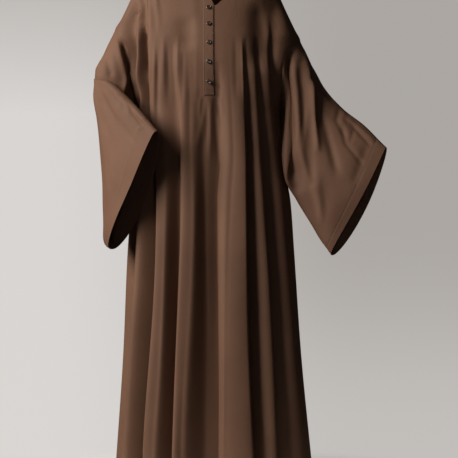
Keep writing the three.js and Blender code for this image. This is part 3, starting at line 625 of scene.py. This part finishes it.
def cloth_shell(name, grid, closed, sign, thick):
    """A shell of cloth over a grid of points, with a UV map in metres along the weave."""
    rows, columns = grid.shape[:2]
    vertices = (grid.reshape(-1, 3) * MM).tolist()
    faces = []
    uvs = []
    run_across = np.zeros((rows, columns + 1))
    nxt = np.roll(grid, -1, 1)
    run_across[:, 1:] = np.cumsum(np.linalg.norm(nxt - grid, axis=2), axis=1)
    run_down = np.zeros((rows, columns))
    run_down[1:] = np.cumsum(np.linalg.norm(np.diff(grid, axis=0), axis=2), axis=0)
    centre = run_across[:, columns // 2][:, None]
    u = (run_across - centre) * MM
    v = run_down * MM
    spans = columns if closed else columns - 1
    for i in range(rows - 1):
        for j in range(spans):
            n = (j + 1) % columns
            a, b = i * columns + j, (i + 1) * columns + j
            d, c = i * columns + n, (i + 1) * columns + n
            corners = [(a, u[i, j], v[i, j]), (b, u[i + 1, j], v[i + 1, j]),
                       (c, u[i + 1, j + 1], v[i + 1, n]), (d, u[i, j + 1], v[i, n])]
            if sign < 0:
                corners.reverse()
            faces.append([corner[0] for corner in corners])
            uvs.extend((corner[1], corner[2]) for corner in corners)
    mesh = bpy.data.meshes.new(name)
    mesh.from_pydata(vertices, [], faces)
    layer = mesh.uv_layers.new(name="weave")
    layer.data.foreach_set("uv", np.array(uvs, float).ravel())
    mesh.update()
    piece = bpy.data.objects.new(name, mesh)
    bpy.context.scene.collection.objects.link(piece)
    clear_selection()
    piece.select_set(True)
    bpy.context.view_layer.objects.active = piece
    wall = piece.modifiers.new("cloth wall", "SOLIDIFY")
    wall.thickness = thick * MM
    wall.offset = -1.0
    wall.use_even_offset = False
    bpy.ops.object.modifier_apply(modifier=wall.name)
    bpy.ops.object.shade_smooth_by_angle(angle=math.radians(55))
    return piece


# Materials

def add_node(tree, kind, values=None, **settings):
    """A node with its settings, and with values set on the inputs that they name."""
    node = tree.nodes.new(kind)
    for name, value in settings.items():
        setattr(node, name, value)
    for name, value in (values or {}).items():
        node.inputs[name].default_value = value
    return node


def join(tree, source, output, node, name):
    tree.links.new(source.outputs[output], node.inputs[name])


def empty_tree(holder):
    holder.use_nodes = True
    holder.node_tree.nodes.clear()
    return holder.node_tree


def new_material(name, values):
    """A material of one shader with these values, its node tree and the shader."""
    material = bpy.data.materials.new(name)
    tree = empty_tree(material)
    output = add_node(tree, "ShaderNodeOutputMaterial")
    shader = add_node(tree, "ShaderNodeBsdfPrincipled", values)
    join(tree, shader, "BSDF", output, "Surface")
    return material, tree, shader


def colour_by(tree, source, shader, *stops):
    """The shader's colour from a source's factor, through stops of place and colour."""
    ramp = add_node(tree, "ShaderNodeValToRGB")
    elements = ramp.color_ramp.elements
    for element, (place, colour) in zip(elements, (stops[0], stops[-1])):
        element.position = place
        element.color = (*colour, 1)
    for place, colour in stops[1:-1]:
        elements.new(place).color = (*colour, 1)
    join(tree, source[0], source[1], ramp, "Fac")
    join(tree, ramp, "Color", shader, "Base Color")


def roughness_by(tree, source, shader, least, most):
    rough = add_node(tree, "ShaderNodeMapRange", {"To Min": least, "To Max": most})
    join(tree, source, "Fac", rough, "Value")
    join(tree, rough, "Result", shader, "Roughness")


def cloth_material(name, base, lift, dark):
    material, tree, shader = new_material(name, {
        "Roughness": 0.72, "Sheen Weight": 0.06, "Sheen Roughness": 0.4,
        "Sheen Tint": (0.8, 0.52, 0.36, 1), "Specular IOR Level": 0.25})
    uv = add_node(tree, "ShaderNodeUVMap", uv_map="weave")
    # fine diagonal ribs of the weave, crossed by a crepe grain
    twist = add_node(tree, "ShaderNodeMapping", {"Rotation": (0, 0, math.radians(38))})
    join(tree, uv, "UV", twist, "Vector")
    ribs = add_node(tree, "ShaderNodeTexWave", {
        "Scale": 520, "Distortion": 1.2, "Detail": 1.0, "Detail Scale": 2.0})
    join(tree, twist, "Vector", ribs, "Vector")
    grain = add_node(tree, "ShaderNodeTexNoise", {"Scale": 1800, "Detail": 3, "Roughness": 0.6})
    join(tree, uv, "UV", grain, "Vector")
    weave = add_node(tree, "ShaderNodeMath", {1: 0.5}, operation="MULTIPLY_ADD")
    join(tree, ribs, "Fac", weave, 0)
    join(tree, grain, "Fac", weave, 2)
    # slow change of tone over the cloth
    place = add_node(tree, "ShaderNodeTexCoord")
    drift = add_node(tree, "ShaderNodeTexNoise", {"Scale": 5.5, "Detail": 4})
    join(tree, place, "Object", drift, "Vector")
    tone = add_node(tree, "ShaderNodeMath", {1: 0.35}, operation="MULTIPLY_ADD")
    join(tree, weave, 0, tone, 0)
    join(tree, drift, "Fac", tone, 2)
    colour_by(tree, (tone, 0), shader, (0.35, dark), (0.72, base), (1.0, lift))
    roughness_by(tree, grain, shader, 0.64, 0.82)
    # slack in the cloth, and its weave, as relief
    slack = add_node(tree, "ShaderNodeTexNoise", {"Scale": 26, "Detail": 3})
    join(tree, uv, "UV", slack, "Vector")
    low = add_node(tree, "ShaderNodeBump", {"Strength": 0.3, "Distance": 0.002})
    join(tree, slack, "Fac", low, "Height")
    fine = add_node(tree, "ShaderNodeBump", {"Strength": 0.35, "Distance": 0.00025})
    join(tree, weave, 0, fine, "Height")
    join(tree, low, "Normal", fine, "Normal")
    join(tree, fine, "Normal", shader, "Normal")
    return material


def button_material():
    material, tree, shader = new_material("polished dark button", {
        "Coat Weight": 0.6, "Coat Roughness": 0.08})
    place = add_node(tree, "ShaderNodeTexCoord")
    swirl = add_node(tree, "ShaderNodeTexNoise", {"Scale": 240, "Detail": 4, "Distortion": 1.5})
    join(tree, place, "Object", swirl, "Vector")
    colour_by(tree, (swirl, "Fac"), shader,
              (0.35, (0.012, 0.006, 0.004)), (0.75, (0.05, 0.028, 0.02)))
    roughness_by(tree, swirl, shader, 0.2, 0.34)
    return material


def thread_material():
    material, tree, shader = new_material("brown sewing thread", {
        "Roughness": 0.5, "Sheen Weight": 0.3})
    place = add_node(tree, "ShaderNodeTexCoord")
    twist = add_node(tree, "ShaderNodeTexNoise", {"Scale": 900})
    join(tree, place, "Object", twist, "Vector")
    colour_by(tree, (twist, "Fac"), shader,
              (0.0, (0.05, 0.026, 0.017)), (1.0, (0.11, 0.062, 0.042)))
    return material


BROWN_CLOTH = cloth_material("brown crepe", (0.112, 0.055, 0.032), (0.13, 0.065, 0.039),
                             (0.094, 0.045, 0.026))
BUTTON = button_material()
THREAD = thread_material()


def dress(piece, material, slot, *nodes):
    """Gives a piece its material, hangs it from the root, and hides the solids that it stands for.
    """
    piece.data.materials.clear()
    piece.data.materials.append(material)
    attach(piece, "root")
    if nodes:
        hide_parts(*nodes)


# Body
front = Panel(True)
back = Panel(False)
front_grid = front.grid(steps=9, yoke_rows=34, arm_rows=42, body_gap=9.0)
back_grid = back.grid(steps=10, yoke_rows=26, arm_rows=42, body_gap=9.5)

front_cloth = cloth_shell("front_cloth", front_grid, False, 1, CLOTH)
back_cloth = cloth_shell("back_cloth", back_grid, False, -1, CLOTH)
dress(front_cloth, BROWN_CLOTH, "cloth", "front_panel")
dress(back_cloth, BROWN_CLOTH, "cloth", "back_panel")


def armhole(side):
    """The loop of an armhole, from the shoulder down the front and up the back."""
    column = 0 if side == "right" else -1
    a, b = front.arm
    down = front_grid[a:b + 1, column]
    a, b = back.arm
    up = back_grid[a:b + 1, column]
    down[0] = up[0] = (down[0] + up[0]) / 2
    down[-1] = up[-1] = (down[-1] + up[-1]) / 2
    corners = np.concatenate([down, up[1:-1][::-1]])
    loop = np.stack([corners, (corners + np.roll(corners, -1, 0)) / 2], 1).reshape(-1, 3)
    halfway = 2 * (len(down) - 1)
    run = np.concatenate([[0], np.cumsum(np.linalg.norm(np.roll(loop, -1, 0) - loop, axis=1))])
    share = np.where(np.arange(len(loop)) <= halfway,
                     run[:-1] / run[halfway] / 2,
                     0.5 + (run[:-1] - run[halfway]) / (run[-1] - run[halfway]) / 2)
    return loop, share


def sleeve_piece(name, node, side, table, folds, creases, sign):
    loop, share = armhole(side)
    sleeve = Sleeve(table, folds, creases, sign)
    grid = sleeve.grid(loop, share)
    grid[0] = loop
    piece = cloth_shell(name, grid, True, sign, CLOTH)
    dress(piece, BROWN_CLOTH, "cloth", node)
    return piece, grid


right_cloth, right_grid = sleeve_piece("right_sleeve_cloth", "right_sleeve", "right", RIGHT_SLEEVE,
                                       RIGHT_SLEEVE_FOLDS, RIGHT_SLEEVE_CREASES, 1)
left_cloth, left_grid = sleeve_piece("left_sleeve_cloth", "left_sleeve", "left", LEFT_SLEEVE,
                                     LEFT_SLEEVE_FOLDS, LEFT_SLEEVE_CREASES, -1)


def front_face(x, z):
    """Points on the front's cloth at a distance across and a height."""
    x, z = np.asarray(x, float), np.asarray(z, float)
    return front.point(x / half_width(x, z), z)


def placket_piece():
    rows, columns = 120, 15
    neck = Curve([row[0] for row in FRONT_NECKLINE[1:8]], [row[1] for row in FRONT_NECKLINE[1:8]])
    x = np.linspace(PLACKET_LEFT, PLACKET_RIGHT, columns)[None] + np.zeros((rows + 1, 1))
    t = np.linspace(0, 1, rows + 1)[:, None]
    z = mix(neck(x) - NECK_TURN, PLACKET_BOTTOM, t)
    grid = front_face(x, z)
    normals = grid_normals(grid, False, 1)
    edge = np.minimum(x - PLACKET_LEFT, PLACKET_RIGHT - x)
    # rolled edges, and a groove where the stitching holds the band down
    rolled = 0.9 * np.exp(-(edge / 1.2) ** 2)
    groove = 0.35 * np.exp(-((edge - PLACKET_EDGE) / 0.9) ** 2)
    grid = grid + normals * (PLACKET_RISE - rolled - groove)[..., None]
    piece = cloth_shell("placket_band", grid, False, 1, PLACKET_THICK)
    dress(piece, BROWN_CLOTH, "cloth", "button_placket")
    return piece


placket = placket_piece()


# Buttons: a turned rim round a sunken face with four holes, sewn on with two bars of thread
def select_faces(piece, test):
    bpy.ops.object.mode_set(mode="OBJECT")
    for polygon in piece.data.polygons:
        polygon.select = test(polygon)
    for edge in piece.data.edges:
        edge.select = False
    for vertex in piece.data.vertices:
        vertex.select = False
    bpy.ops.object.mode_set(mode="EDIT")
    bpy.ops.mesh.select_mode(type="FACE")


def button_form():
    clear_selection()
    bpy.ops.mesh.primitive_cylinder_add(vertices=48, radius=BUTTON_RADIUS * MM,
                                        depth=BUTTON_THICK * MM)
    button = bpy.context.active_object
    bpy.ops.object.mode_set(mode="EDIT")
    select_faces(button, lambda face: face.normal.z > 0.9)
    bpy.ops.mesh.inset(thickness=0.5 * MM, depth=0.35 * MM)
    bpy.ops.mesh.inset(thickness=0.7 * MM, depth=0)
    bpy.ops.mesh.inset(thickness=0.8 * MM, depth=-0.8 * MM)
    select_faces(button, lambda face: face.normal.z < -0.9)
    bpy.ops.mesh.inset(thickness=1.0 * MM, depth=0.3 * MM)
    bpy.ops.object.mode_set(mode="OBJECT")
    off = HOLE_OFF_MIDDLE * MM
    for x, y in ((off, off), (off, -off), (-off, off), (-off, -off)):
        clear_selection()
        bpy.ops.mesh.primitive_cylinder_add(vertices=14, radius=HOLE_RADIUS * MM,
                                            depth=8 * MM, location=(x, y, 0))
        drill = bpy.context.active_object
        clear_selection()
        button.select_set(True)
        bpy.context.view_layer.objects.active = button
        hole = button.modifiers.new("hole", "BOOLEAN")
        hole.object = drill
        hole.operation = "DIFFERENCE"
        bpy.ops.object.modifier_apply(modifier=hole.name)
        bpy.data.objects.remove(drill)
    edge = button.modifiers.new("worn edge", "BEVEL")
    edge.width = 0.12 * MM
    edge.segments = 2
    edge.limit_method = "ANGLE"
    edge.angle_limit = math.radians(40)
    bpy.ops.object.modifier_apply(modifier=edge.name)
    bpy.ops.object.shade_smooth_by_angle(angle=math.radians(35))
    return button


def stitch_form():
    """One stitch: a short bar of thread with drawn-in ends."""
    clear_selection()
    bpy.ops.mesh.primitive_cylinder_add(vertices=6, radius=STITCH_RADIUS * MM,
                                        depth=STITCH_LENGTH * MM,
                                        rotation=(0, math.radians(90), 0))
    stitch = bpy.context.active_object
    bpy.ops.object.transform_apply(location=True, rotation=True, scale=True)
    for side in (1, -1):
        select_faces(stitch, lambda face: face.normal.x * side > 0.9)
        bpy.ops.mesh.inset(thickness=0.14 * MM, depth=0.18 * MM)
    bpy.ops.object.mode_set(mode="OBJECT")
    return stitch


def sewn(name, form, places):
    """Copies of a small form in one mesh, each at a place, turned to its own three ways."""
    shape = np.array([vertex.co for vertex in form.data.vertices])
    faces = [list(polygon.vertices) for polygon in form.data.polygons]
    vertices, polygons = [], []
    for place, along, across, out in places:
        first = len(vertices)
        vertices.extend((np.array(place) * MM + shape @ np.array([along, across, out])).tolist())
        polygons.extend([[first + i for i in face] for face in faces])
    mesh = bpy.data.meshes.new(name)
    mesh.from_pydata(vertices, [], polygons)
    piece = bpy.data.objects.new(name, mesh)
    bpy.context.scene.collection.objects.link(piece)
    clear_selection()
    piece.select_set(True)
    bpy.context.view_layer.objects.active = piece
    bpy.ops.object.shade_smooth_by_angle(angle=math.radians(50))
    dress(piece, THREAD, "cloth")
    return piece


def stitch_row(line, normals, pitch, closed=False, lift=0.12):
    """Places for a row of stitches along a line of points, lying on the cloth."""
    if closed:
        line = np.concatenate([line, line[:1]])
        normals = np.concatenate([normals, normals[:1]])
    run = np.concatenate([[0], np.cumsum(np.linalg.norm(np.diff(line, axis=0), axis=1))])
    count = int(run[-1] / pitch)
    places = []

    def between(values, at):
        return np.array([np.interp(at, run, values[:, i]) for i in range(3)])

    for at in (np.arange(count) + 0.5) * run[-1] / count:
        here = between(line, at - STITCH_LENGTH / 2)
        ahead = between(line, at + STITCH_LENGTH / 2)
        out = unit(between(normals, at))
        along = unit(ahead - here)
        across = unit(np.cross(out, along))
        places.append(((here + ahead) / 2 + out * lift, along, across, np.cross(along, across)))
    return places


BUTTON_FORM = button_form()
STITCH_FORM = stitch_form()
buttons = []
for i in range(5):
    low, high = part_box("button_%d" % (i + 1))
    middle = (Vector(low) + Vector(high)) / 2
    x, z = middle.x / MM, middle.z / MM
    above, below = front_face(x, z + 6), front_face(x, z - 6)
    up = Vector(above - below).normalized()
    out = Vector((1, 0, 0)).cross(up).normalized()
    if out.y > 0:
        out = -out
    side = up.cross(out).normalized()
    button = BUTTON_FORM.copy()
    button.data = BUTTON_FORM.data.copy()
    button.name = "sewn_button_%d" % (i + 1)
    bpy.context.scene.collection.objects.link(button)
    # each was sewn on at a turn of its own
    turn = 0.35 + 1.1 * i
    across = side * math.cos(turn) + up * math.sin(turn)
    rise = up * math.cos(turn) - side * math.sin(turn)
    for vertex in button.data.vertices:
        at = vertex.co.copy()
        vertex.co = middle + across * at.x + rise * at.y + out * at.z
    dress(button, BUTTON, "button", "button_%d" % (i + 1))
    face = middle / MM + out * THREAD_RISE
    bars = [(face + rise * y, across, rise, out) for y in (-HOLE_OFF_MIDDLE, HOLE_OFF_MIDDLE)]
    thread = sewn("button_thread_%d" % (i + 1), STITCH_FORM, bars)
    buttons += [button, thread]


# Rows of stitching
for name, grid, closed, sign in (("right_cuff", right_grid, True, 1),
                                 ("left_cuff", left_grid, True, -1),
                                 ("front_hem", front_grid, False, 1),
                                 ("back_hem", back_grid, False, -1)):
    if closed:
        away = Sleeve.levels() - CUFF_AT
    else:
        away = grid[:, grid.shape[1] // 2, 2] - HEM - HEM_DEEP
    row = int(np.argmin(abs(away)))
    places = stitch_row(grid[row], grid_normals(grid, closed, sign)[row], HEM_PITCH, closed)
    sewn(name + "_stitching", STITCH_FORM, places)
neck = mix(back_grid[0], back_grid[1], 0.6)
places = stitch_row(neck, grid_normals(back_grid, False, -1)[0], NECK_PITCH)
sewn("back_neck_stitching", STITCH_FORM, places)


def placket_line(points):
    """A line over the placket's face through points, and the way out of it."""
    points = np.array(points, float)
    at = np.linspace(0, len(points) - 1, 24 * (len(points) - 1) + 1)
    x = np.interp(at, np.arange(len(points)), points[:, 0])
    z = np.interp(at, np.arange(len(points)), points[:, 1])
    face = front_face(x, z)
    ahead = np.stack([np.zeros(len(x)), -np.ones(len(x)), np.zeros(len(x))], -1)
    return face + ahead * (PLACKET_RISE + 0.05), ahead


left, right = PLACKET_LEFT + PLACKET_EDGE, PLACKET_RIGHT - PLACKET_EDGE
low, box_top = PLACKET_BOTTOM + 2, PLACKET_BOTTOM + 15
places = []
for points in ([(left, LEFT_ROW_TOP), (left, low)], [(right, RIGHT_ROW_TOP), (right, low)],
               [(left, low), (right, low)], [(left, box_top), (right, box_top)]):
    places += stitch_row(*placket_line(points), PLACKET_PITCH)
sewn("placket_stitching", STITCH_FORM, places)
bpy.data.objects.remove(BUTTON_FORM)
bpy.data.objects.remove(STITCH_FORM)

# Stage, in metres
FLOOR_RADIUS, FLOOR_HEIGHT = 2.6, -1.5
clear_selection()
bpy.ops.mesh.primitive_circle_add(vertices=96, radius=FLOOR_RADIUS, fill_type="NGON",
                                  location=(0, 0, FLOOR_HEIGHT))
floor = bpy.context.active_object
floor.name = "studio_floor"
bpy.ops.object.transform_apply(location=True, rotation=True, scale=True)


def floor_material():
    """Pale paint that fades out to nothing some way from the middle."""
    material, tree, paint = new_material("pale floor", {
        "Base Color": (0.74, 0.72, 0.7, 1), "Roughness": 0.9})
    clear = add_node(tree, "ShaderNodeBsdfTransparent")
    place = add_node(tree, "ShaderNodeTexCoord")
    flat = add_node(tree, "ShaderNodeVectorMath", {1: (1, 1, 0)}, operation="MULTIPLY")
    join(tree, place, "Object", flat, 0)
    length = add_node(tree, "ShaderNodeVectorMath", operation="LENGTH")
    join(tree, flat, "Vector", length, 0)
    fade = add_node(tree, "ShaderNodeMapRange", {"From Min": 0.2, "From Max": 0.75},
                    interpolation_type="SMOOTHERSTEP")
    join(tree, length, "Value", fade, "Value")
    both = add_node(tree, "ShaderNodeMixShader")
    join(tree, fade, "Result", both, "Fac")
    join(tree, paint, "BSDF", both, 1)
    join(tree, clear, "BSDF", both, 2)
    join(tree, both, "Shader", tree.nodes["Material Output"], "Surface")
    return material


floor.data.materials.append(floor_material())

# The wall behind, with light and shade painted on it: painted shade darkens it to the right and at
# the top, and painted light makes it paler low down. Each row: a way across or up it, from where
# to where, how much, how, which colour
WALL_PALE, WALL_PAINTED_LIGHTER, WALL_PAINTED_SHADE = (0.69, 0.665, 0.645), (0.7, 0.675, 0.655), (0.41, 0.385, 0.365)
PAINTED_WALL_LIGHTING = [
    ("X", -0.14, 0.1, 1.0, "SMOOTHERSTEP", WALL_PAINTED_SHADE),
    ("Z", 0.02, -0.16, 0.45, "SMOOTHERSTEP", WALL_PAINTED_LIGHTER),
    ("Z", 0.075, 0.15, 0.6, "LINEAR", WALL_PAINTED_SHADE),
]
world = bpy.data.worlds.new("studio")
bpy.context.scene.world = world
tree = empty_tree(world)
world_out = add_node(tree, "ShaderNodeOutputWorld")
seen = add_node(tree, "ShaderNodeBackground", {"Strength": 1.0})
lit = add_node(tree, "ShaderNodeBackground", {"Color": (0.62, 0.6, 0.58, 1), "Strength": 0.03})
way = add_node(tree, "ShaderNodeTexCoord")
parts = add_node(tree, "ShaderNodeSeparateXYZ")
join(tree, way, "Generated", parts, "Vector")
# the painted shade and painted light mixed over the wall's pale colour, seen by the camera only
shade = None
for axis, start, end, most, kind, colour in PAINTED_WALL_LIGHTING:
    reach = add_node(tree, "ShaderNodeMapRange",
                     {"From Min": start, "From Max": end, "To Max": most},
                     interpolation_type=kind)
    join(tree, parts, axis, reach, "Value")
    mixed = add_node(tree, "ShaderNodeMix", {"A": (*WALL_PALE, 1), "B": (*colour, 1)},
                     data_type="RGBA")
    join(tree, reach, "Result", mixed, "Factor")
    if shade:
        join(tree, shade, "Result", mixed, "A")
    shade = mixed
join(tree, shade, "Result", seen, "Color")
path = add_node(tree, "ShaderNodeLightPath")
either = add_node(tree, "ShaderNodeMixShader")
join(tree, path, "Is Camera Ray", either, "Fac")
join(tree, lit, "Background", either, 1)
join(tree, seen, "Background", either, 2)
join(tree, either, "Shader", world_out, "Surface")


MIDDLE = (0, 0, -0.7)


def area_light(name, place, size, power, colour):
    """A soft light aimed at the middle of the abaya."""
    data = bpy.data.lights.new(name, "AREA")
    data.shape = "RECTANGLE"
    data.size, data.size_y = size
    data.energy = power
    data.color = colour
    lamp = bpy.data.objects.new(name, data)
    bpy.context.scene.collection.objects.link(lamp)
    lamp.location = place
    aim = Vector(MIDDLE) - Vector(place)
    lamp.rotation_euler = aim.to_track_quat("-Z", "Y").to_euler()


area_light("key", (-2.7, -1.66, 1.0), (1.8, 1.8), 238, (1.0, 0.96, 0.9))
area_light("fill", (0.9, -4.4, 0.3), (1.4, 1.6), 10, (1.0, 0.97, 0.94))
area_light("back", (0.2, 4.3, -0.1), (1.6, 2.0), 80, (1.0, 0.97, 0.93))

camera_data = bpy.data.cameras.new("camera")
camera_data.sensor_width = 36
camera_data.lens = camera_data.sensor_width * CAMERA_AWAY / (FRAME_PIXELS * MM_PER_PIXEL)
camera_data.dof.use_dof = False
camera = bpy.data.objects.new("camera", camera_data)
bpy.context.scene.collection.objects.link(camera)
camera.location = (CAMERA_X * MM, -CAMERA_AWAY * MM, CAMERA_HEIGHT * MM)
camera.rotation_euler = (math.radians(90), 0, 0)
bpy.context.scene.camera = camera
bpy.context.scene.view_settings.view_transform = "Standard"
